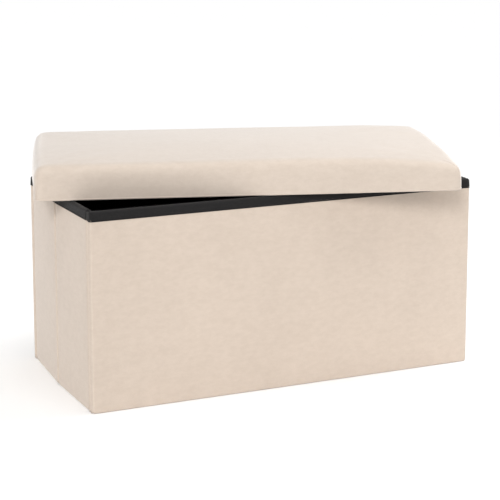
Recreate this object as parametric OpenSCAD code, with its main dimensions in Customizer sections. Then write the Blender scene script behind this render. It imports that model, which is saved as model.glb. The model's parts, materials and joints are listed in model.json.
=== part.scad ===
// Folding storage bench: a padded lid on a velvet-covered box of hinged panels.
// Origin at the centre of the footprint on the floor, +X along the bench, -Y the front, +Z up.

/* [Box] */
// Length of the bench over its two end panels
bench_w = 760; // [640:1:900]
// Depth of the bench over its front and back walls
bench_d = 369; // [320:1:420]
// Height of the box to the top of its bound rim
box_h = 361; // [300:1:420]
// Height of the cloth binding that wraps the rim
binding_h = 18; // [12:1:30]

/* [Panels] */
// Thickness of a stiff panel core
board_t = 7; // [4:0.5:9]
// Thickness of the bonded velvet cover
velvet_t = 3; // [1:0.5:4]
// Thickness of the inside lining
lining_t = 2; // [1:0.5:3]
// Gap between an end leaf and the cloth hinge at its corner
corner_gap = 0.8; // [0.7:0.1:1.5]
// Half of the gap between the two leaves of an end panel
fold_gap = 1; // [0.6:0.1:2]
// Radius of the rolled seam that the two leaves fold about
seam_r = 0.8; // [0.5:0.1:0.9]
// How far each leaf leans outwards where it stands, in degrees
end_bow = 2.2; // [0:0.1:2.5]

/* [Floor] */
// Thickness of the stiff floor panel
floor_board_t = 4; // [3:0.5:5]
// Thickness of the cloth above and below the floor panel
floor_cloth_t = 1; // [0.5:0.5:1]
// Gap between the floor and the end panels
floor_gap = 1.5; // [1:0.5:4]

/* [Lid] */
// How far the squared lid overhangs each end of the box
overhang_x = 10; // [1:0.5:14]
// How far the squared lid overhangs the front and the back of the box
overhang_y = 6; // [1:0.5:10]
// Height of the padded lid with its crown
lid_h = 70; // [50:1:85]
// Rise of the crown at the middle of the lid
crown = 6; // [4:1:16]
// Plan radius of the lid's corners
lid_r = 18; // [8:1:30]
// Thickness of the stiff lid panel
lid_board_t = 9; // [6:1:12]
// Width of the cover's hem that is turned under the lid
hem_w = 30; // [20:1:45]
// How far the lid is turned from square where it lies
lid_askew = 16.3; // [0:0.1:17]
// Place of the vent along the squared lid, which is also where the lid turns
vent_x = 21; // [-100:1:100]
// Place of the vent across the squared lid
vent_y = 62; // [-100:1:100]

/* [Hidden] */

// a wall is lining, board and velvet, counted from its inner face
wall_t = lining_t + board_t + velvet_t;
half_w = bench_w / 2;
half_d = bench_d / 2;
inner_w = half_w - wall_t;
inner_d = half_d - wall_t;
floor_t = floor_board_t + 2 * floor_cloth_t;
// the cloth hinges hold the folded ends off the long walls, so the raised floor fits between
hinge_w = floor_t + 1;
hinge_y = inner_d - hinge_w;
// the rolled seam stands this far outside the leaves, so they fold flat against each other
seam_proud = 1;
leaf_reach = (hinge_y + (wall_t + seam_proud) * sin(end_bow)) / cos(end_bow);
leaf_w = leaf_reach - corner_gap - fold_gap;
fold_x = inner_w + (wall_t + seam_proud) * cos(end_bow) + leaf_reach * sin(end_bow);
binding_z = box_h - binding_h;
binding_wrap = 4;
edge_wrap = velvet_t;

// the floor
floor_back = inner_d - 0.7;
floor_front = -inner_d + 5.5;
tab_w = 24;
tab_reach = 4.3;
tab_t = 1.6;

// the lid, counted up from its underside
lid_low = box_h + 0.3;
staple_t = 0.7;
hem_t = 2;
lid_z = lid_low + staple_t;
lid_board_z = lid_z + hem_t;
lid_foam_z = lid_board_z + lid_board_t + 0.2;
lid_w = bench_w + 2 * overhang_x;
lid_d = bench_d + 2 * overhang_y;
skirt_h = lid_h * 0.6;
shoulder = 6;
shoulder_drop = 5;
lid_skin = 3;
foam_gap = 0.3;
staple_inset = 22;
staple_pitch = 74;
staple_w = 11;
staple_wire = 0.9;
staple_leg = 7;
leg_room = 0.15;
vent_r = 8;
vent_flange_r = 12;
vent_bore = 5;
vent_room = 0.15;

velvet = [0.88, 0.82, 0.76];
charcoal = [0.17, 0.17, 0.18];
black = [0.06, 0.06, 0.06];
fibreboard = [0.72, 0.58, 0.42];
foam = [0.93, 0.90, 0.78];
steel = [0.75, 0.76, 0.78];

$fn = 64;

// ---------- one covered panel, drawn along X with its inner face on y = 0 and its outer face at y = wall_t

module panel_board(length) {
    color(fibreboard)
        translate([edge_wrap, lining_t, edge_wrap])
            cube([length - 2 * edge_wrap, board_t, box_h - binding_wrap - edge_wrap]);
}

module panel_cover(length) {
    color(velvet)
        difference() {
            translate([0, lining_t, 0])
                cube([length, wall_t - lining_t, binding_z]);
            panel_board(length);
        }
}

module panel_liner(length) {
    color(black)
        cube([length, lining_t, binding_z]);
}

module panel_binding(length) {
    color(charcoal)
        difference() {
            translate([0, 0, binding_z])
                cube([length, wall_t, binding_h]);
            panel_board(length);
        }
}

// where each panel stands
module at_back() {
    translate([-half_w, inner_d, 0])
        children();
}

module at_front() {
    mirror([0, 1, 0])
        at_back()
            children();
}

// an end leaf is drawn at the left rear, leaning out from its corner, and the other three mirror it

module at_end(right, front) {
    mirror([right, 0, 0])
        mirror([0, front, 0])
            translate([-inner_w, hinge_y, 0])
                rotate(-end_bow)
                    translate([0, fold_gap - leaf_reach, 0])
                        rotate(90)
                            children();
}

module back_board() {
    at_back()
        panel_board(bench_w);
}

module back_cover() {
    at_back()
        panel_cover(bench_w);
}

module back_liner() {
    at_back()
        panel_liner(bench_w);
}

// the long walls' binding turns in at each corner, above the cloth hinge
module long_binding() {
    at_back()
        panel_binding(bench_w);
    for (side = [0, 1])
        mirror([side, 0, 0])
            color(charcoal)
                translate([-half_w, hinge_y, binding_z])
                    cube([wall_t, hinge_w, binding_h]);
}

module back_binding() {
    long_binding();
}

module corner_hinge(right, front) {
    color(velvet)
        mirror([right, 0, 0])
            mirror([0, front, 0])
                translate([-half_w, hinge_y, 0])
                    cube([wall_t, hinge_w, binding_z]);
}

module front_board() {
    at_front()
        panel_board(bench_w);
}

module front_cover() {
    at_front()
        panel_cover(bench_w);
}

module front_liner() {
    at_front()
        panel_liner(bench_w);
}

module front_binding() {
    mirror([0, 1, 0])
        long_binding();
}

// the rolled seam that an end's two leaves fold about
module fold_hinge(right) {
    color(velvet)
        mirror([right, 0, 0])
            translate([-fold_x, 0, edge_wrap])
                cylinder(r = seam_r, h = box_h - 2 * edge_wrap);
}

// ---------- the floor, hinged along its back edge

module floor_slab(z, t) {
    translate([-inner_w + floor_gap, floor_front, z])
        cube([2 * (inner_w - floor_gap), floor_back - floor_front, t]);
}

module floor_board() {
    color(fibreboard)
        floor_slab(floor_cloth_t, floor_board_t);
}

module floor_liner() {
    color(black)
        floor_slab(floor_cloth_t + floor_board_t, floor_cloth_t);
}

module floor_base_cloth() {
    color(black)
        floor_slab(0, floor_cloth_t);
}

module floor_pull_tab() {
    color(charcoal)
        translate([-tab_w / 2, floor_front - tab_reach, floor_cloth_t + 1])
            cube([tab_w, tab_reach, tab_t]);
}

// ---------- the lid, drawn square on the box and then turned about its vent

module as_lid_lies() {
    translate([vent_x, vent_y, 0])
        rotate(-lid_askew)
            translate([-vent_x, -vent_y, 0])
                children();
}

module lid_plan(inset) {
    r = max(lid_r - inset, 2);
    w = lid_w - 2 * inset;
    d = lid_d - 2 * inset;
    square([w - 2 * r, d], center = true);
    square([w, d - 2 * r], center = true);
    for (sx = [-1, 1], sy = [-1, 1])
        translate([sx * (w / 2 - r), sy * (d / 2 - r)])
            circle(r);
}

module lid_slab(inset, z, t) {
    translate([0, 0, z])
        linear_extrude(t)
            lid_plan(inset);
}

// the padded form: upright skirt, soft shoulder, low crown
module lid_form(inset) {
    top = lid_z + lid_h - inset;
    hull() {
        lid_slab(inset, lid_z + inset, skirt_h - 2 * inset);
        lid_slab(inset + shoulder, top - crown - shoulder_drop, 1);
        lid_slab(inset + 3 * shoulder, top - crown, 1);
        lid_slab(inset + 22 * shoulder, top - 1, 1);
    }
}

// one staple, crown down, legs up into the board; room widens it to cut its own seat
module staple(room) {
    wire = staple_wire + 2 * room;
    translate([0, 0, lid_z - staple_t - room]) {
        translate([-staple_w / 2 - room, -wire / 2, 0])
            cube([staple_w + 2 * room, wire, staple_t]);
        for (side = [-1, 1])
            translate([side * (staple_w - staple_wire) / 2 - wire / 2, -wire / 2, 0])
                cube([wire, wire, staple_leg + 2 * room]);
    }
}

module all_staples(room) {
    reach_x = lid_w / 2 - staple_inset;
    reach_y = lid_d / 2 - staple_inset;
    for (side = [-1, 1]) {
        for (i = [-4:4])
            translate([i * staple_pitch, side * reach_y, 0])
                staple(room);
        for (i = [-1:1])
            translate([side * reach_x, i * staple_pitch, 0])
                rotate(90)
                    staple(room);
    }
}

module vent_hole() {
    translate([vent_x, vent_y, lid_low])
        cylinder(r = vent_r + vent_room, h = lid_h / 2);
}

module lid_board() {
    color(fibreboard)
        as_lid_lies()
            difference() {
                lid_slab(lid_skin, lid_board_z, lid_board_t);
                vent_hole();
                all_staples(leg_room);
            }
}

module lid_foam() {
    color(foam)
        as_lid_lies()
            intersection() {
                lid_form(lid_skin + foam_gap);
                lid_slab(0, lid_foam_z, lid_h);
            }
}

module lid_cover() {
    color(velvet)
        as_lid_lies()
            difference() {
                lid_form(0);
                intersection() {
                    lid_form(lid_skin);
                    lid_slab(0, lid_board_z, lid_h);
                }
                lid_slab(lid_skin, lid_board_z, lid_board_t);
                lid_slab(hem_w, lid_low, lid_board_t);
                all_staples(leg_room);
            }
}

module lid_liner() {
    color(black)
        as_lid_lies()
            difference() {
                lid_slab(hem_w + foam_gap, lid_z, hem_t);
                vent_hole();
            }
}

module lid_staples() {
    color(steel)
        as_lid_lies()
            all_staples(0);
}

// a flanged sleeve through the lining and the board, which lets the cushion breathe
module vent_eyelet() {
    color(steel)
        translate([vent_x, vent_y, 0])
            difference() {
                union() {
                    translate([0, 0, lid_low])
                        cylinder(r = vent_flange_r, h = staple_t - vent_room);
                    translate([0, 0, lid_low])
                        cylinder(r = vent_r, h = lid_board_z + lid_board_t - lid_low);
                }
                translate([0, 0, lid_low - 1])
                    cylinder(r = vent_bore, h = lid_board_z + lid_board_t - lid_low + 2);
            }
}

back_board();
back_cover();
back_liner();
back_binding();
corner_hinge(0, 0);  // left_rear_hinge
corner_hinge(1, 0);  // right_rear_hinge
front_board();
front_cover();
front_liner();
front_binding();
corner_hinge(0, 1);  // left_front_hinge
corner_hinge(1, 1);  // right_front_hinge
at_end(0, 0) panel_board(leaf_w);  // left_rear_end_board
at_end(0, 0) panel_cover(leaf_w);  // left_rear_end_cover
at_end(0, 0) panel_liner(leaf_w);  // left_rear_end_liner
at_end(0, 0) panel_binding(leaf_w);  // left_rear_end_binding
at_end(0, 1) panel_board(leaf_w);  // left_front_end_board
at_end(0, 1) panel_cover(leaf_w);  // left_front_end_cover
at_end(0, 1) panel_liner(leaf_w);  // left_front_end_liner
at_end(0, 1) panel_binding(leaf_w);  // left_front_end_binding
at_end(1, 0) panel_board(leaf_w);  // right_rear_end_board
at_end(1, 0) panel_cover(leaf_w);  // right_rear_end_cover
at_end(1, 0) panel_liner(leaf_w);  // right_rear_end_liner
at_end(1, 0) panel_binding(leaf_w);  // right_rear_end_binding
at_end(1, 1) panel_board(leaf_w);  // right_front_end_board
at_end(1, 1) panel_cover(leaf_w);  // right_front_end_cover
at_end(1, 1) panel_liner(leaf_w);  // right_front_end_liner
at_end(1, 1) panel_binding(leaf_w);  // right_front_end_binding
fold_hinge(0);  // left_fold_hinge
fold_hinge(1);  // right_fold_hinge
floor_board();
floor_liner();
floor_base_cloth();
floor_pull_tab();
lid_board();
lid_foam();
lid_cover();
lid_liner();
lid_staples();
vent_eyelet();
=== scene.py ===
"""Folding storage bench: velvet leaves round a black-lined box, a bound rim and a padded lid lying askew."""

import json
import math

import bpy
import numpy as np
from mathutils import Matrix, Vector, noise
from mathutils.bvhtree import BVHTree


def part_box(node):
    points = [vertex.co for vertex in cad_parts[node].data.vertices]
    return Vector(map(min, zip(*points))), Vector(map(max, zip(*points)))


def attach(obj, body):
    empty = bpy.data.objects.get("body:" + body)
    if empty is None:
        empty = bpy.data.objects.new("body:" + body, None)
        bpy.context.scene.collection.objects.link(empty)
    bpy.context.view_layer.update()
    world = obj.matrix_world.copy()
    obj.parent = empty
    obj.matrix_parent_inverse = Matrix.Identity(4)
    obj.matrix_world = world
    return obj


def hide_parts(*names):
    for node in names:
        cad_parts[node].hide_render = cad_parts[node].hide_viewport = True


MM = 0.001

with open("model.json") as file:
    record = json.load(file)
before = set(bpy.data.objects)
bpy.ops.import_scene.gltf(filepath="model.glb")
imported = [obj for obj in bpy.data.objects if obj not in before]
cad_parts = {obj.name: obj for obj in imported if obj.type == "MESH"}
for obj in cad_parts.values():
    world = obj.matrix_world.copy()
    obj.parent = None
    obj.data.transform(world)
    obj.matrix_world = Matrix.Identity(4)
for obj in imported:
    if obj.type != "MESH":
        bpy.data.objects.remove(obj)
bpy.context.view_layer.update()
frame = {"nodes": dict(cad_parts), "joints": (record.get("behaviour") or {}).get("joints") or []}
joints = {j["name"]: j for j in frame["joints"]}

# ---------- sizes taken from the frame

cover_low, cover_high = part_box("front_cover")
binding_low, binding_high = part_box("front_binding")
strip_low, strip_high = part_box("left_rear_hinge")
lid_board_low, lid_board_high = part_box("lid_board")
HALF_W = cover_high.x
HALF_D = -cover_low.y
RIM_LOW = binding_low.z
RIM_TOP = binding_high.z
WALL_T = strip_high.x - strip_low.x
COVER_T = cover_high.y - cover_low.y
HINGE_Y = strip_low.y
INNER_D = strip_high.y

# the lid: drawn square on the box, then turned about its vent
LID_PIVOT = Vector(joints["lid_turn"]["pos_m"])
LID_TURN = math.radians(joints["lid_turn"]["range_deg"][1])
OVERHANG_X = 10 * MM
OVERHANG_Y = 6 * MM
LID_HALF_W = HALF_W + OVERHANG_X
LID_HALF_D = HALF_D + OVERHANG_Y
LID_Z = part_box("lid_liner")[0].z
LID_BOARD_Z = lid_board_low.z
LID_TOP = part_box("lid_cover")[1].z
HEM_W = 30 * MM


# ---------- mesh helpers


def add_mesh(name, points, faces, material, flip=False):
    """Makes a smooth-shaded object from points and faces."""
    if flip:
        faces = [tuple(reversed(f)) for f in faces]
    mesh = bpy.data.meshes.new(name)
    mesh.from_pydata([tuple(map(float, p)) for p in points], [], faces)
    mesh.update()
    mesh.shade_smooth()
    obj = bpy.data.objects.new(name, mesh)
    bpy.context.scene.collection.objects.link(obj)
    obj.data.materials.append(material)
    return obj


def put(obj, body, slot, *nodes):
    """Lets a piece ride a body and stand for CAD nodes, which it hides; slot is not used."""
    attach(obj, body)
    if nodes:
        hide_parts(*nodes)
    return obj


def axis_stops(low, high, radius, step, edge_steps=4):
    """Grid stops along one axis: close together in the two rounded edges, even between them."""
    span = high - low - 2 * radius
    count = max(1, round(span / step))
    edge = [radius * i / edge_steps for i in range(edge_steps)]
    middle = [radius + span * i / count for i in range(count + 1)]
    far = [high - low - e for e in reversed(edge)]
    return [low + s for s in edge + middle + far]


def box_grid(stops):
    """Points and outward quads of a box's six gridded sides, sharing points along the edges."""
    index, points, faces = {}, [], []

    def at(cell):
        if cell not in index:
            index[cell] = len(points)
            points.append([stops[a][cell[a]] for a in range(3)])
        return index[cell]

    for a in range(3):
        b, c = (a + 1) % 3, (a + 2) % 3
        for side in (0, len(stops[a]) - 1):
            for i in range(len(stops[b]) - 1):
                for j in range(len(stops[c]) - 1):
                    ring = [(i, j), (i + 1, j), (i + 1, j + 1), (i, j + 1)]
                    if side == 0:
                        ring.reverse()
                    quad = []
                    for bi, cj in ring:
                        cell = [0, 0, 0]
                        cell[a], cell[b], cell[c] = side, bi, cj
                        quad.append(at(tuple(cell)))
                    faces.append(tuple(quad))
    return np.array(points), faces


def round_edges(points, low, high, radius):
    """Rolls a box's square edges and corners to the radius."""
    low, high = np.array(low), np.array(high)
    core = np.clip(points, low + radius, high - radius)
    out = points - core
    length = np.linalg.norm(out, axis=1, keepdims=True)
    return core + out * np.minimum(1, radius / np.maximum(length, 1e-9))


def round_corner(points, centre_x, toward):
    """Rounds a standing plate's bottom corner, by drawing the corner's square in to a quarter disc."""
    radius = centre_x if toward < 0 else points[:, 0].max() - centre_x
    across = np.maximum((points[:, 0] - centre_x) * toward, 0)
    down = np.maximum(radius - points[:, 2], 0)
    draw = np.maximum(across, down) / np.maximum(np.hypot(across, down), 1e-9)
    inside = (across > 0) & (down > 0)
    points[:, 0] = np.where(inside, centre_x + across * draw * toward, points[:, 0])
    points[:, 2] = np.where(inside, radius - down * draw, points[:, 2])
    return points


def soft_block(low, high, radius, step):
    """Points and faces of a gridded block with rolled edges."""
    stops = [axis_stops(low[a], high[a], radius, step) for a in range(3)]
    points, faces = box_grid(stops)
    return round_edges(points, low, high, radius), faces


def ripple(p, scale, seed=0.0):
    """Smooth noise from -1 to 1; scale is the size of its patches."""
    return noise.noise(Vector(p) / scale + Vector((seed, 1.7 * seed, 2.3 * seed)))


def loft(rings, closed_section=True):
    """Quads between closed rings of equal length; a closed section joins the last ring to the first."""
    n = len(rings[0])
    points = [p for ring in rings for p in ring]
    faces = []
    pairs = len(rings) if closed_section else len(rings) - 1
    for k in range(pairs):
        a, b = k * n, (k + 1) % len(rings) * n
        faces += [(a + i, a + (i + 1) % n, b + (i + 1) % n, b + i) for i in range(n)]
    return points, faces


def tube(path, radius, sides=8):
    """Points and faces of a closed-ended tube along a path; radius is a number or one number a point."""
    radii = radius if hasattr(radius, "__len__") else [radius] * len(path)
    rings = []
    for i, p in enumerate(path):
        along = (path[min(i + 1, len(path) - 1)] - path[max(i - 1, 0)]).normalized()
        side = along.orthogonal() if i == 0 else (side - along * side.dot(along))
        side.normalize()
        other = along.cross(side)
        turn = [2 * math.pi * k / sides for k in range(sides)]
        rings.append([p + (side * math.cos(t) + other * math.sin(t)) * radii[i] for t in turn])
    points, faces = loft(rings, closed_section=False)
    last = len(points) - sides
    faces = [tuple(reversed(f)) for f in faces]
    faces += [tuple(range(sides)), tuple(reversed(range(last, last + sides)))]
    return points, [tuple(reversed(f)) for f in faces]


# ---------- materials


def new_material(name, roughness, sheen=0.0, sheen_roughness=0.4, specular=0.3, metallic=0.0):
    """An empty Principled material with its constant values set on the shader."""
    material = bpy.data.materials.new(name)
    material.use_nodes = True
    shader = material.node_tree.nodes["Principled BSDF"]
    shader.inputs["Roughness"].default_value = roughness
    shader.inputs["Metallic"].default_value = metallic
    shader.inputs["Specular IOR Level"].default_value = specular
    shader.inputs["Sheen Weight"].default_value = sheen
    shader.inputs["Sheen Roughness"].default_value = sheen_roughness
    return material, material.node_tree, shader


def node(tree, kind, inputs=None, **settings):
    """Adds a node, sets its options and then its inputs, by name or number; a socket is linked."""
    made = tree.nodes.new(kind)
    for key, value in settings.items():
        setattr(made, key, value)
    for key, value in (inputs or {}).items():
        if isinstance(value, bpy.types.NodeSocket):
            tree.links.new(value, made.inputs[key])
        else:
            made.inputs[key].default_value = value
    return made


def place(tree, turn=(0, 0, 0), stretch=(1, 1, 1)):
    """Object coordinates, turned and stretched."""
    where = node(tree, "ShaderNodeTexCoord").outputs["Object"]
    mapped = node(tree, "ShaderNodeMapping", {"Vector": where, "Rotation": turn, "Scale": stretch})
    return mapped.outputs["Vector"]


def ramp(tree, factor, stops):
    """A colour ramp through (position, colour) stops."""
    made = node(tree, "ShaderNodeValToRGB", {"Fac": factor})
    elements = made.color_ramp.elements
    elements[0].position, elements[1].position = stops[0][0], stops[-1][0]
    for position, _ in stops[1:-1]:
        elements.new(position)
    for element, (_, colour) in zip(elements, stops):
        element.color = (*colour, 1)
    return made.outputs["Color"]


def bump(tree, height, strength, distance, below=None):
    """A bump node, on top of an earlier one if given."""
    made = node(tree, "ShaderNodeBump", {"Height": height, "Strength": strength, "Distance": distance})
    if below is not None:
        tree.links.new(below, made.inputs["Normal"])
    return made.outputs["Normal"]


def add_colours(tree, base, over, amount, blend="MULTIPLY"):
    """Blends one colour over another by a fixed amount."""
    mixed = node(tree, "ShaderNodeMix", data_type="RGBA", blend_type=blend)
    mixed.inputs[0].default_value = amount
    tree.links.new(base, mixed.inputs[6])
    tree.links.new(over, mixed.inputs[7])
    return mixed.outputs[2]


def velvet_material(name, tone, stroke, sheen):
    """Short-pile velvet: brushed patches, small mottling, fine pile and a pale sheen."""
    material, tree, shader = new_material(name, 0.9, sheen=sheen, sheen_roughness=0.4, specular=0.1)
    shader.inputs["Sheen Tint"].default_value = (1.0, 0.99, 0.98, 1)
    patches = node(
        tree,
        "ShaderNodeTexNoise",
        {"Vector": place(tree, stretch=stroke), "Scale": 8.0, "Detail": 5.0, "Roughness": 0.6},
    )
    mottle = node(
        tree,
        "ShaderNodeTexNoise",
        {"Vector": place(tree, stretch=(0.7, 0.7, 1.3)), "Scale": 90.0, "Detail": 5.0, "Roughness": 0.7},
    )
    pile = node(
        tree,
        "ShaderNodeTexNoise",
        {"Vector": place(tree), "Scale": 1500.0, "Detail": 3.0, "Roughness": 0.7},
    )
    light = tuple(min(1, c * 1.02) for c in tone)
    dark = tuple(c * 0.975 for c in tone)
    base = ramp(tree, patches.outputs["Fac"], [(0.34, dark), (0.5, tone), (0.66, light)])
    grey = [(0.36, (0.93, 0.92, 0.91)), (0.64, (1, 1, 1))]
    base = add_colours(tree, base, ramp(tree, mottle.outputs["Fac"], grey), 0.8)
    base = add_colours(tree, base, ramp(tree, pile.outputs["Fac"], grey), 0.9)
    tree.links.new(base, shader.inputs["Base Color"])
    shape = bump(tree, pile.outputs["Fac"], 0.30, 0.0006)
    shape = bump(tree, mottle.outputs["Fac"], 0.10, 0.0012, below=shape)
    shape = bump(tree, patches.outputs["Fac"], 0.06, 0.004, below=shape)
    tree.links.new(shape, shader.inputs["Normal"])
    return material


def nonwoven_material(name, tone, thread_scale, thread_depth, sheen):
    """Pressed cloth: fibres, and fine slanting ribs."""
    material, tree, shader = new_material(name, 0.88, sheen=sheen, sheen_roughness=0.5, specular=0.2)
    fibres = node(
        tree,
        "ShaderNodeTexNoise",
        {"Vector": place(tree), "Scale": 900.0, "Detail": 4.0, "Roughness": 0.7},
    )
    turned = place(tree, turn=(0.0, math.radians(45), math.radians(45)))
    ribs = node(
        tree,
        "ShaderNodeTexWave",
        {"Vector": turned, "Scale": thread_scale, "Distortion": 1.2, "Detail": 2.0, "Detail Scale": 3.0},
    )
    dark = tuple(c * 0.55 for c in tone)
    light = tuple(c * 1.6 for c in tone)
    base = ramp(tree, fibres.outputs["Fac"], [(0.3, dark), (0.5, tone), (0.72, light)])
    shade = ramp(tree, ribs.outputs["Fac"], [(0.2, (0.6, 0.6, 0.6)), (0.8, (1.0, 1.0, 1.0))])
    base = add_colours(tree, base, shade, 0.7)
    tree.links.new(base, shader.inputs["Base Color"])
    shape = bump(tree, ribs.outputs["Fac"], 0.5, thread_depth)
    shape = bump(tree, fibres.outputs["Fac"], 0.35, 0.0005, below=shape)
    tree.links.new(shape, shader.inputs["Normal"])
    return material


def fibreboard_material():
    """Pressed fibreboard: speckled brown with long faint fibres."""
    material, tree, shader = new_material("fibreboard", 0.8)
    speckle = node(
        tree,
        "ShaderNodeTexNoise",
        {"Vector": place(tree, stretch=(1, 1, 0.3)), "Scale": 420.0, "Detail": 6.0, "Roughness": 0.75},
    )
    tones = [(0.3, (0.30, 0.20, 0.12)), (0.55, (0.45, 0.33, 0.21)), (0.75, (0.56, 0.43, 0.29))]
    tree.links.new(ramp(tree, speckle.outputs["Fac"], tones), shader.inputs["Base Color"])
    shape = bump(tree, speckle.outputs["Fac"], 0.25, 0.0006)
    tree.links.new(shape, shader.inputs["Normal"])
    return material


def foam_material():
    """Open-cell foam: cream, darkened at small cell centres as painted shade in the pores."""
    material, tree, shader = new_material("cushion foam", 0.95)
    cells = node(tree, "ShaderNodeTexVoronoi", {"Vector": place(tree), "Scale": 450.0})
    # the dark end of the ramp at the cell centres is painted shade in the pits the bump makes
    tones = [(0.05, (0.55, 0.50, 0.36)), (0.5, (0.85, 0.81, 0.66))]
    tree.links.new(ramp(tree, cells.outputs["Distance"], tones), shader.inputs["Base Color"])
    tree.links.new(bump(tree, cells.outputs["Distance"], 0.6, 0.001), shader.inputs["Normal"])
    return material


def steel_material():
    """Drawn steel wire and pressed sheet, faintly scratched."""
    material, tree, shader = new_material("zinc steel", 0.32, specular=0.5, metallic=1.0)
    scratches = node(
        tree,
        "ShaderNodeTexNoise",
        {"Vector": place(tree, stretch=(1, 1, 14)), "Scale": 700.0, "Detail": 3.0},
    )
    tones = [(0.3, (0.52, 0.53, 0.55)), (0.7, (0.78, 0.78, 0.80))]
    tree.links.new(ramp(tree, scratches.outputs["Fac"], tones), shader.inputs["Base Color"])
    tree.links.new(bump(tree, scratches.outputs["Fac"], 0.15, 0.0003), shader.inputs["Normal"])
    return material


# The lid and the walls are one velvet. The lid's copy has a slightly darker, less warm tone, set with the
# lamps so its more strongly lit top comes out right (painted light and shade on the lid), and a stronger
# sheen.
WALL_TONE = (0.625, 0.532, 0.452)
LID_TONE = (0.615, 0.53, 0.455)
velvet_wall = velvet_material("velvet walls", WALL_TONE, (1, 1, 0.8), 0.5)
velvet_lid = velvet_material("velvet lid", LID_TONE, (0.6, 1, 1), 0.9)
binding = nonwoven_material("rim binding", (0.016, 0.015, 0.015), 260.0, 0.0006, 0.05)
lining = nonwoven_material("black lining", (0.009, 0.009, 0.009), 120.0, 0.0004, 0.03)
fibreboard = fibreboard_material()
foam = foam_material()
steel = steel_material()

for name, obj in frame["nodes"].items():
    if name.endswith("board"):
        finish = fibreboard
    elif name.endswith("binding") or name == "floor_pull_tab":
        finish = binding
    elif name.endswith("liner") or name == "floor_base_cloth":
        finish = lining
    elif name in ("lid_staples", "vent_eyelet"):
        finish = steel
    elif name == "lid_foam":
        finish = foam
    else:
        finish = velvet_wall
    obj.data.materials.clear()
    obj.data.materials.append(finish)


# ---------- the walls

WALL_STEP = 9 * MM
WALL_ROLL = 5.2 * MM
LEAF_ROLL = 2.2 * MM
FOOT_ROLL = 2.6 * MM
WALL_PUFF = 1.3 * MM
LEAF_PUFF = 0.7 * MM
WALL_ROUND = 4.5 * MM
LEAF_ROUND = 8 * MM
FOLD_ROUND = 5 * MM
TUCK = 5 * MM


def swell(points, along, out, amount, seed):
    """Puffs a plate's outer side towards -`out`, most in the middle, with slight unevenness."""
    low, high = points.min(axis=0), points.max(axis=0)
    share = (points - low) / (high - low)
    level = (1 - np.abs(2 * share[:, along] - 1) ** 5) * (1 - np.abs(2 * share[:, 2] - 1) ** 5)
    outer = np.clip(1 - 2 * share[:, out], 0, 1)
    uneven = np.array([ripple(p, 0.09, seed) + 0.5 * ripple(p, 0.035, seed + 4) for p in points])
    points[:, out] -= amount * level * outer * (1 + 0.55 * uneven)
    return points


def cover_plate(length, roll, puff, seed, first_round, last_round):
    """A covered plate along +X, its outer face at y = 0 and its inner at y = COVER_T, standing on z = 0."""
    stretch = roll / FOOT_ROLL
    low, high = (0, 0, 0), (length, COVER_T, (RIM_LOW + TUCK) * stretch)
    points, faces = soft_block(low, high, roll, WALL_STEP)
    points[:, 2] /= stretch
    points = round_corner(points, first_round, -1)
    points = round_corner(points, length - last_round, 1)
    return swell(points, 0, 1, puff, seed), faces


def long_wall(name, front):
    """The velvet of the front or back wall."""
    seed = 1.0 if front else 6.0
    points, faces = cover_plate(2 * HALF_W, WALL_ROLL, WALL_PUFF, seed, WALL_ROUND, WALL_ROUND)
    points += np.array([-HALF_W, -HALF_D, 0])
    if not front:
        points[:, 1] *= -1
    obj = add_mesh(name + "_velvet", points, faces, velvet_wall, flip=not front)
    put(obj, name, "velvet", name + "_cover")


# each end leaf leans out from its corner; its lean and reach follow from its two hinge lines
corner_line = Vector(joints["end_fold"]["pos_m"])
centre_line = Vector(joints["left_centre_fold"]["pos_m"])
to_centre = centre_line - corner_line
SEAM_OUT = WALL_T + 1 * MM
LEAF_REACH = math.sqrt(to_centre.length_squared - SEAM_OUT**2)
LEAF_LEAN = math.atan2(-to_centre.x, -to_centre.y) - math.atan2(SEAM_OUT, LEAF_REACH)
LEAF_GAP = 0.8 * MM
FOLD_GAP = 1 * MM
LEAF_LENGTH = LEAF_REACH - LEAF_GAP - FOLD_GAP


def on_leaf(points, right, front):
    """Puts points drawn on a leaf (x from fold to corner, y inwards from its outer face) in the frame."""
    x, y, z = np.asarray(points, float).reshape(-1, 3).T
    out = WALL_T - y
    reach = x + FOLD_GAP - LEAF_REACH
    c, s = math.cos(LEAF_LEAN), math.sin(LEAF_LEAN)
    placed = np.stack([corner_line.x - out * c + reach * s, corner_line.y + out * s + reach * c, z], axis=1)
    return placed * np.array([-1 if right else 1, -1 if front else 1, 1])


def end_leaf(side, end):
    """The velvet and the rim binding of one end leaf."""
    right, front = side == "right", end == "front"
    body = f"{side}_{end}_end"
    seed = 11.0 + 3 * right + 7 * front
    flip = right == front
    points, faces = cover_plate(LEAF_LENGTH, LEAF_ROLL, LEAF_PUFF, seed, FOLD_ROUND, LEAF_ROUND)
    obj = add_mesh(body + "_velvet", on_leaf(points, right, front), faces, velvet_wall, flip=flip)
    put(obj, body, "velvet", body + "_cover")
    outline = rectangle_outline(0, LEAF_LENGTH, 0, WALL_T, RIM_PLAN_R)
    points, faces = rim_band(outline, seed)
    obj = add_mesh(body + "_rim", on_leaf(points, right, front), faces, binding, flip=flip)
    put(obj, body, "binding", body + "_binding")


# ---------- the bound rim

RIM_PLAN_R = 3 * MM
RIM_ROLL = 4.4 * MM
RIM_PROUD = 0.8 * MM
RIM_STEP = 9 * MM


def arc(centre, radius, start, stop, steps=5):
    """Points of an arc in plan, from one angle to another in degrees."""
    turn = [math.radians(start + (stop - start) * i / steps) for i in range(steps + 1)]
    return [(centre[0] + radius * math.cos(t), centre[1] + radius * math.sin(t)) for t in turn]


def with_stops(outline, step):
    """Adds points along an outline's long straight stretches."""
    filled = []
    for i, p in enumerate(outline):
        q = outline[(i + 1) % len(outline)]
        count = max(1, round(math.dist(p, q) / step))
        filled += [(p[0] + (q[0] - p[0]) * k / count, p[1] + (q[1] - p[1]) * k / count) for k in range(count)]
    return filled


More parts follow.
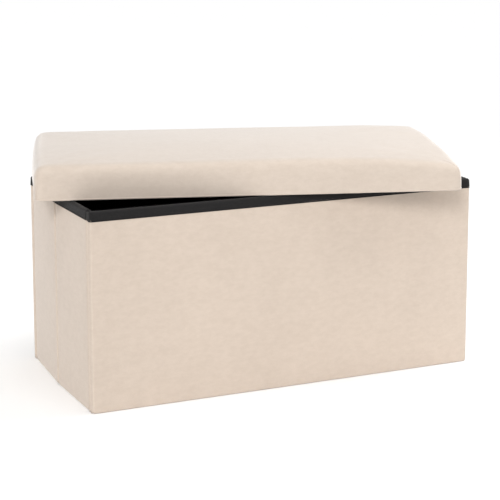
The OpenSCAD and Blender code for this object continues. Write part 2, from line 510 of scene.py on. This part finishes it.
def rectangle_outline(x0, x1, y0, y1, r):
    """A rounded rectangle in plan, counter-clockwise."""
    corners = [(x1 - r, y0 + r, -90), (x1 - r, y1 - r, 0), (x0 + r, y1 - r, 90), (x0 + r, y0 + r, 180)]
    outline = []
    for x, y, start in corners:
        outline += arc((x, y), r, start, start + 90)
    return with_stops(outline, RIM_STEP)


def long_rim_outline():
    """The front wall's rim in plan, counter-clockwise, turning in at both corners."""
    r, inner = RIM_PLAN_R + 2 * MM, 1 * MM
    w, d, t, y_in, y_end = HALF_W, HALF_D, WALL_T, INNER_D, HINGE_Y
    outline = arc((-w + r, -d + r), r, 180, 270) + arc((w - r, -d + r), r, 270, 360)
    outline += arc((w - inner, -y_end - inner), inner, 0, 90, 2)
    outline += arc((w - t + inner, -y_end - inner), inner, 90, 180, 2)
    outline += arc((w - t - inner, -y_in + inner), inner, 0, -90, 3)
    outline += arc((-w + t + inner, -y_in + inner), inner, 270, 180, 3)
    outline += arc((-w + t - inner, -y_end - inner), inner, 0, 90, 2)
    outline += arc((-w + inner, -y_end - inner), inner, 90, 180, 2)
    return with_stops(outline, RIM_STEP)


def inset_outline(outline, amount):
    """Draws an outline in by an amount along its corner normals."""
    n = len(outline)
    moved = []
    for i, p in enumerate(outline):
        before, after = Vector(outline[i - 1]), Vector(outline[(i + 1) % n])
        a = (Vector(p) - before).normalized()
        b = (after - Vector(p)).normalized()
        inward = Vector((-a.y - b.y, a.x + b.x)).normalized()
        share = max(0.5, inward.dot(Vector((-a.y, a.x))))
        moved.append((p[0] + inward.x * amount / share, p[1] + inward.y * amount / share))
    return moved


def rim_band(outline, seed):
    """A cloth band over the top of a wall: folded lower edge, slightly uneven sides, rolled top."""
    profile = [(0.9 * MM, RIM_LOW + 0.2 * MM), (0.2 * MM, RIM_LOW), (-RIM_PROUD, RIM_LOW + 0.5 * MM)]
    profile += [(-RIM_PROUD, RIM_LOW + 1.8 * MM), (-0.1 * MM, RIM_LOW + 2.4 * MM)]
    profile += [(-RIM_PROUD, RIM_LOW + 3 * MM)]
    profile += [(-0.4 * MM, RIM_LOW + 8 * MM)]
    for i in range(7):
        turn = math.radians(90 * i / 6)
        profile.append((RIM_ROLL * (1 - math.cos(turn)), RIM_TOP - RIM_ROLL * (1 - math.sin(turn))))
    inner_side = min(y for _, y in outline) + WALL_T / 2
    rings = []
    for inset, z in profile:
        proud = inset_outline(outline, inset)
        flush = inset_outline(outline, max(inset, 0.1 * MM))
        ring = [f if y > inner_side else p for p, f, (_, y) in zip(proud, flush, outline)]
        wave = [0.25 * MM * ripple((x, y, z), 0.03, seed) for x, y in ring]
        lift = min(1, max(0, (z - RIM_LOW - 3 * MM) / (4 * MM)))
        rings.append([(x, y, z + w * lift) for (x, y), w in zip(ring, wave)])
    points, faces = loft(rings, closed_section=False)
    n = len(outline)
    last = len(points) - n
    faces += [tuple(reversed(range(n))), tuple(range(last, last + n))]
    return points, faces


def long_rim(name, front):
    """The binding of the front or back wall, with its turned-in corners."""
    points, faces = rim_band(long_rim_outline(), 2.0 if front else 9.0)
    points = np.array(points)
    if not front:
        points[:, 1] *= -1
    obj = add_mesh(name + "_rim", points, faces, binding, flip=not front)
    put(obj, name, "binding", name + "_binding")


# ---------- cloth hinges

STRIP_TOP = RIM_LOW + 1 * MM
STRIP_FOOT = 0.4 * MM
SEAM_STITCH = 4.5 * MM
SEAM_T = 1.15 * MM
SEAM_REACH = 4 * MM
# the folded velvet of a corner in plan: distance in from the front or back face, and depth below the end face
STRIP_LIP = [(5.5, 1), (7, -0.8), (9, -1.3), (11, -0.9), (13, 0.2)]
STRIP_GROOVE = [(13.8, 1.8), (14.8, 1.8)]
STRIP_FOLD = [(15.4, -0.3), (17, -1.2), (18.8, -0.4)]


def corner_strip(side, end):
    """The folded velvet in a vertical corner: a lip on the long wall, then a groove beside the end leaf."""
    right, front = side == "right", end == "front"
    line = [(-HALF_W + d * MM, HALF_D - b * MM) for b, d in STRIP_LIP + STRIP_GROOVE + STRIP_FOLD]
    line += [(-HALF_W + WALL_T - 1 * MM, HINGE_Y + 0.4 * MM), (-HALF_W + WALL_T - 1 * MM, HALF_D - 5.5 * MM)]
    centre = np.mean(line, axis=0)
    count = round((STRIP_TOP - STRIP_FOOT) / WALL_STEP)
    rings = []
    for k in range(count + 1):
        z = STRIP_FOOT + (STRIP_TOP - STRIP_FOOT) * k / count
        draw = 0.08 * max(0, 1 - (z - STRIP_FOOT) / (3 * MM))
        wave = 0.15 * MM * ripple((0, 0, z), 0.05, 3.0 + 2 * right + front)
        rings.append([(x + (centre[0] - x) * draw - wave, y + (centre[1] - y) * draw, z) for x, y in line])
    points, faces = loft(rings, closed_section=False)
    faces += [tuple(reversed(range(len(line)))), tuple(range(count * len(line), (count + 1) * len(line)))]
    points = np.array(points) * np.array([-1 if right else 1, -1 if front else 1, 1])
    obj = add_mesh(f"{side}_{end}_corner_fold", points, faces, velvet_wall, flip=right != front)
    put(obj, "front" if front else "back", "velvet", f"{side}_{end}_hinge")


def fold_seam(side):
    """The flat rolled seam down the middle of an end, drawn in a little at each stitch."""
    x = centre_line.x * (1 if side == "left" else -1)
    low, high = 4 * MM, STRIP_TOP
    count = round((high - low) / SEAM_STITCH) * 4
    out = -1 if side == "left" else 1
    across = [math.cos(math.pi * k / 8) for k in range(9)]
    section = [(y, 2 * (1 - y * y) - 1) for y in across] + [(-0.5, -1), (0.5, -1)]
    rings = []
    for i in range(count + 1):
        z = low + (high - low) * i / count
        pinch = 0.88 + 0.12 * abs(math.sin(math.pi * (z - low) / SEAM_STITCH))
        drift = 0.15 * MM * ripple((0, 0, z), 0.04, 5.0)
        rings.append([(x + out * SEAM_T * pinch * t, drift + SEAM_REACH * pinch * y, z) for y, t in section])
    points, faces = loft(rings, closed_section=False)
    n = len(section)
    faces += [tuple(reversed(range(n))), tuple(range(count * n, (count + 1) * n))]
    obj = add_mesh(f"{side}_fold_seam", points, faces, velvet_wall, flip=side == "right")
    put(obj, f"{side}_rear_end", "velvet", f"{side}_fold_hinge")


# ---------- the lid

PAD_PLAN_R = 17 * MM
PAD_ROLL = 19 * MM
PAD_TOP = LID_TOP - 3 * MM
PAD_INSET = 0.8 * MM
PAD_CAP = 4 * MM
PAD_FRAMES = 20
PAD_VOXEL = 6 * MM
HEM_R = 18 * MM
END_PUFF = 4 * MM
SIDE_PUFF = 0.8 * MM
CORNER_DROOP = (1.5 * MM, 6 * MM)
CORNER_REACH = 130 * MM
PULL_DEPTH = 0.25 * MM
PULL_REACH = 70 * MM
CORNER_DRAW = 2 * MM
CROWN_LIFT = 0.9 * MM
RIGHT_SLUMP = 18 * MM
FRONT_SLOPE = 5.5 * MM


def turn_lid(obj):
    """Turns a piece drawn square on the box to where the lid lies, about the vent."""
    to_origin = Matrix.Translation(-LID_PIVOT)
    obj.data.transform(Matrix.Translation(LID_PIVOT) @ Matrix.Rotation(-LID_TURN, 4, "Z") @ to_origin)
    obj.data.update()


def pad_block(inset, top, plan_r, roll):
    """A block with rolled upper edges and upright corners, flat underneath, for the lid's pad or foam."""
    w, d = LID_HALF_W - inset, LID_HALF_D - inset
    squash = plan_r / roll
    low, high = (-w, -d, (LID_BOARD_Z - roll) * squash), (w, d, top * squash)
    points, faces = soft_block(low, high, plan_r, WALL_STEP)
    points[:, 2] = np.maximum(points[:, 2] / squash, LID_BOARD_Z)
    return points, faces


def coordinates(mesh):
    """A mesh's points as rows."""
    found = np.zeros(len(mesh.vertices) * 3)
    mesh.vertices.foreach_get("co", found)
    return found.reshape(-1, 3)


def set_coordinates(mesh, points):
    mesh.vertices.foreach_set("co", points.ravel())
    mesh.update()


def apply_modifiers(obj):
    """Keeps what the modifiers make of a mesh, and removes them."""
    bpy.context.view_layer.update()
    made = bpy.data.meshes.new_from_object(obj.evaluated_get(bpy.context.evaluated_depsgraph_get()))
    obj.modifiers.clear()
    obj.data = made


def blow_up(obj):
    """Inflates the pad a little as cloth, with its lower edge held by the staples."""
    held = obj.vertex_groups.new(name="held")
    start = coordinates(obj.data)
    low = [i for i, p in enumerate(start) if p[2] < LID_BOARD_Z + 9 * MM]
    held.add(low, 1.0, "REPLACE")
    cloth = obj.modifiers.new("Cloth", "CLOTH")
    cloth.settings.quality = 5
    cloth.settings.mass = 0.3
    cloth.settings.tension_stiffness = 18
    cloth.settings.compression_stiffness = 18
    cloth.settings.shear_stiffness = 6
    cloth.settings.bending_stiffness = 3
    cloth.settings.use_pressure = True
    cloth.settings.uniform_pressure_force = 4
    cloth.settings.effector_weights.gravity = 0
    cloth.settings.vertex_group_mass = "held"
    cloth.collision_settings.use_collision = False
    cloth.point_cache.frame_end = PAD_FRAMES
    for step in range(1, PAD_FRAMES + 1):
        bpy.context.scene.frame_set(step)
    blown = bpy.data.meshes.new_from_object(obj.evaluated_get(bpy.context.evaluated_depsgraph_get()))
    moved = coordinates(blown) - start
    reach = np.linalg.norm(moved, axis=1)
    moved *= min(1, PAD_CAP / reach.max())
    bpy.data.meshes.remove(blown)
    obj.modifiers.clear()
    obj.vertex_groups.clear()
    bpy.context.scene.frame_set(1)
    set_coordinates(obj.data, start + moved)


def settle_pad(points):
    """Draws the corners in and down, slumps the right front, slopes the front and lays pulls in the skirt."""
    x, y, z = points.T
    height = np.clip((z - LID_BOARD_Z) / (PAD_TOP - LID_BOARD_Z), 0, 1)
    from_corner = np.hypot(LID_HALF_W - np.abs(x), LID_HALF_D - np.abs(y))
    near = np.clip(1 - from_corner / CORNER_REACH, 0, 1) ** 1.7
    droop = np.where(x < 0, CORNER_DROOP[0], CORNER_DROOP[1])
    points[:, 2] -= (droop * near - CROWN_LIFT) * height**1.5
    to_right = np.clip((x / LID_HALF_W + 0.15) / 1.15, 0, 1)
    to_front = np.clip(0.85 - y / LID_HALF_D, 0, 1.85) / 1.85
    points[:, 2] -= RIGHT_SLUMP * to_right**3 * to_front**1.4 * height
    points[:, 2] -= FRONT_SLOPE * np.clip(-y / LID_HALF_D, 0, 1) ** 1.5 * (1 - to_right**2) * height
    draw = CORNER_DRAW * near * height**2
    points[:, 0] -= np.sign(x) * draw
    points[:, 1] -= np.sign(y) * draw
    level = np.sin(math.pi * np.clip(height, 0, 1) ** 0.8)
    ends = np.clip(np.abs(x) / LID_HALF_W - 0.9, 0, 0.1) * 10
    sides = np.clip(np.abs(y) / LID_HALF_D - 0.9, 0, 0.1) * 10
    points[:, 0] += np.sign(x) * END_PUFF * level * ends * (1 - np.abs(y / LID_HALF_D) ** 4)
    points[:, 1] += np.sign(y) * SIDE_PUFF * level * sides * (1 - np.abs(x / LID_HALF_W) ** 6)
    along = np.where(LID_HALF_D - np.abs(y) < 30 * MM, LID_HALF_W - np.abs(x), LID_HALF_D - np.abs(y))
    pulls = np.sin((along * 0.8 + (z - LID_Z) * 1.3) / (7.5 * MM)) * np.exp(-along / PULL_REACH)
    skirt = np.clip(1 - np.abs(height - 0.35) / 0.35, 0, 1)
    push = PULL_DEPTH * pulls * skirt
    on_long = LID_HALF_D - np.abs(y) < 12 * MM
    points[:, 1] += np.where(on_long, np.sign(y) * push, 0)
    points[:, 0] += np.where(on_long, 0, np.sign(x) * push)
    points[:, 2] += np.array([0.7 * MM * ripple(p, 0.16, 8.0) for p in points]) * height**2
    return points


def hold_edge(points):
    """Squares up the pad's lower edge, where it is stretched round the board."""
    radius = HEM_R - PAD_INSET
    core = np.array([LID_HALF_W - HEM_R, LID_HALF_D - HEM_R])
    flat = points[:, :2]
    centre = np.clip(flat, -core, core)
    out = flat - centre
    length = np.linalg.norm(out, axis=1)
    hold = np.clip((LID_BOARD_Z + 26 * MM - points[:, 2]) / (20 * MM), 0, 1)
    hold = np.where(length > radius - 7 * MM, hold, 0)
    longer = (length + (radius - length) * hold) / np.maximum(length, 1e-9)
    points[:, :2] = centre + out * longer[:, None]
    return points


def lid_pad():
    """The lid's padded velvet, blown up as cloth and settled."""
    points, faces = pad_block(PAD_INSET, PAD_TOP, PAD_PLAN_R, PAD_ROLL)
    obj = add_mesh("lid_velvet_pad", points, faces, velvet_lid)
    remesh = obj.modifiers.new("Remesh", "REMESH")
    remesh.mode = "VOXEL"
    remesh.voxel_size = PAD_VOXEL
    remesh.use_smooth_shade = True
    apply_modifiers(obj)
    blow_up(obj)
    set_coordinates(obj.data, settle_pad(coordinates(obj.data)))
    smooth = obj.modifiers.new("Smooth", "SMOOTH")
    smooth.factor, smooth.iterations = 0.5, 4
    finer = obj.modifiers.new("Subdivision", "SUBSURF")
    finer.levels = finer.render_levels = 1
    apply_modifiers(obj)
    set_coordinates(obj.data, hold_edge(coordinates(obj.data)))
    obj.data.shade_smooth()
    surface = BVHTree.FromPolygons([v.co for v in obj.data.vertices], [p.vertices for p in obj.data.polygons])
    turn_lid(obj)
    put(obj, "lid", "velvet", "lid_cover")
    return surface


def lid_ring(inset, z):
    """The lid's outline drawn in by an amount, at one height, counter-clockwise."""
    r = max(HEM_R - inset, 0.6 * MM)
    w, d = LID_HALF_W - inset - r, LID_HALF_D - inset - r
    corners = [(w, -d, -90, 40), (w, d, 0, 84), (-w, d, 90, 40), (-w, -d, 180, 84)]
    bends = [arc((x, y), r, start, start + 90, 8) for x, y, start, _ in corners]
    ring = []
    for k, (_, _, _, count) in enumerate(corners):
        (x0, y0), (x1, y1) = bends[k][-1], bends[(k + 1) % 4][0]
        ring += bends[k][:-1]
        ring += [(x0 + (x1 - x0) * i / count, y0 + (y1 - y0) * i / count) for i in range(count)]
    return [Vector((x, y, z)) for x, y in ring]


def lid_hem():
    """The cover's hem: a rolled lower edge, turned flat under the board."""
    low, high = LID_Z, LID_BOARD_Z - 0.1 * MM
    section = [(HEM_W, low + 0.3 * MM), (HEM_W - 2 * MM, low), (5 * MM, low), (2 * MM, low + 0.2 * MM)]
    section += [(0.4 * MM, low + 1.2 * MM), (0.2 * MM, low + 2.6 * MM), (1 * MM, low + 4.2 * MM)]
    section += [(3.2 * MM, low + 4.6 * MM), (4 * MM, high), (HEM_W - 2 * MM, high), (HEM_W, high - 0.3 * MM)]
    rings = []
    for inset, z in section:
        rings.append([p + Vector((0, 0, 0.15 * MM * ripple(p, 0.02, 12.0))) for p in lid_ring(inset, z)])
    points, faces = loft(rings)
    obj = add_mesh("lid_velvet_hem", points, [tuple(reversed(f)) for f in faces], velvet_lid)
    turn_lid(obj)
    put(obj, "lid", "velvet")


def corner_seams(surface):
    """A narrow stitched seam up each corner of the lid's skirt, lying on the pad."""
    top = PAD_TOP - 16 * MM
    for sx in (-1, 1):
        for sy in (-1, 1):
            path, radii = [], []
            steps = 44
            for i in range(steps + 1):
                z = LID_Z + 3 * MM + (top - LID_Z) * i / steps
                aim = Vector((sx * (LID_HALF_W - HEM_R), sy * (LID_HALF_D - HEM_R), z))
                way = Vector((sx, sy, 0)).normalized()
                hit = surface.ray_cast(aim + way * 0.08, -way)[0]
                if hit is None:
                    continue
                path.append(hit + way * 0.1 * MM)
                stitch = 0.75 + 0.25 * abs(math.sin(math.pi * i / 2))
                fade = min(1, (steps - i) / 8 + 0.15)
                radii.append(0.75 * MM * stitch * fade)
            points, faces = tube(path, radii, sides=8)
            name = f"lid_seam_{'right' if sx > 0 else 'left'}_{'rear' if sy > 0 else 'front'}"
            obj = add_mesh(name, points, faces, velvet_lid)
            turn_lid(obj)
            put(obj, "lid", "velvet")


def lid_foam():
    """The foam block under the velvet."""
    points, faces = pad_block(16 * MM, PAD_TOP - 14 * MM, 20 * MM, 20 * MM)
    points[:, 2] = np.maximum(points[:, 2], lid_board_high.z + 0.3 * MM)
    x, y, z = points.T
    near = np.clip(1 - np.hypot(LID_HALF_W - np.abs(x), LID_HALF_D - np.abs(y)) / 0.11, 0, 1)
    points[:, 2] = np.maximum(z - 14 * MM * near * (z > PAD_TOP - 30 * MM), lid_board_high.z + 0.3 * MM)
    obj = add_mesh("lid_foam_block", points, faces, foam)
    turn_lid(obj)
    put(obj, "lid", "foam", "lid_foam")


# ---------- stage, light and camera


def studio():
    """A pale floor in an even surround, a key light from the front left, one above and one at the right."""
    material, tree, shader = new_material("studio floor", 0.9)
    shader.inputs["Base Color"].default_value = (0.99, 0.99, 0.99, 1)
    grain = node(tree, "ShaderNodeTexNoise", {"Vector": place(tree), "Scale": 60.0})
    tree.links.new(bump(tree, grain.outputs["Fac"], 0.02, 0.001), shader.inputs["Normal"])
    reach = 40.0
    corners = [(-reach, -reach, 0), (reach, -reach, 0), (reach, reach, 0), (-reach, reach, 0)]
    add_mesh("studio_floor", corners, [(0, 1, 2, 3)], material)

    world = bpy.data.worlds.new("studio")
    world.use_nodes = True
    world.node_tree.nodes["Background"].inputs["Color"].default_value = (1, 1, 1, 1)
    world.node_tree.nodes["Background"].inputs["Strength"].default_value = WORLD_LIGHT
    bpy.context.scene.world = world
    bpy.context.scene.view_settings.view_transform = "Standard"
    for name, aim_from, spread, power in LAMPS:
        lamp = bpy.data.lights.new(name, "SUN")
        lamp.angle = math.radians(spread)
        lamp.energy = power
        obj = bpy.data.objects.new(name, lamp)
        obj.location = aim_from
        obj.rotation_euler = Vector(aim_from).to_track_quat("Z", "Y").to_euler()
        bpy.context.scene.collection.objects.link(obj)
    lamp = bpy.data.lights.new("side light", "AREA")
    lamp.size = SIDE_LAMP_SIZE
    lamp.energy = SIDE_LAMP_POWER
    obj = bpy.data.objects.new("side light", lamp)
    obj.location = SIDE_LAMP_AT
    obj.rotation_euler = (Vector(SIDE_LAMP_AT) - Vector((0.1, 0, LID_TOP))).to_track_quat("Z", "Y").to_euler()
    bpy.context.scene.collection.objects.link(obj)


WORLD_LIGHT = 0.6
LAMPS = [
    ("key", (-1.5, -2.1, 1.4), 16, 1.6),
    ("top light", (0, -0.3, 2.0), 30, 0.6),
]
SIDE_LAMP_AT = (1.0, -0.1, 1.4)
SIDE_LAMP_SIZE = 0.8
SIDE_LAMP_POWER = 9

CAMERA_AT = (-1.1644, -2.6365, 0.9116)
CAMERA_TURN = 23.865
CAMERA_DOWN = 9.425
CAMERA_LENS = 110.16
CAMERA_SHIFT = -0.22


def camera():
    """The camera at the photograph's viewing angle."""
    turn, down = math.radians(CAMERA_TURN), math.radians(CAMERA_DOWN)
    ahead = Vector((math.sin(turn) * math.cos(down), math.cos(turn) * math.cos(down), -math.sin(down)))
    data = bpy.data.cameras.new("camera")
    data.sensor_width, data.lens, data.shift_y = 36, CAMERA_LENS, CAMERA_SHIFT
    obj = bpy.data.objects.new("camera", data)
    obj.location = CAMERA_AT
    obj.rotation_euler = ahead.to_track_quat("-Z", "Y").to_euler()
    bpy.context.scene.collection.objects.link(obj)
    bpy.context.scene.camera = obj


# ---------- build

for wall in ("front", "back"):
    long_wall(wall, wall == "front")
    long_rim(wall, wall == "front")
for hand in ("left", "right"):
    for where in ("rear", "front"):
        end_leaf(hand, where)
        corner_strip(hand, where)
    fold_seam(hand)
pad_surface = lid_pad()
lid_hem()
corner_seams(pad_surface)
lid_foam()
studio()
camera()
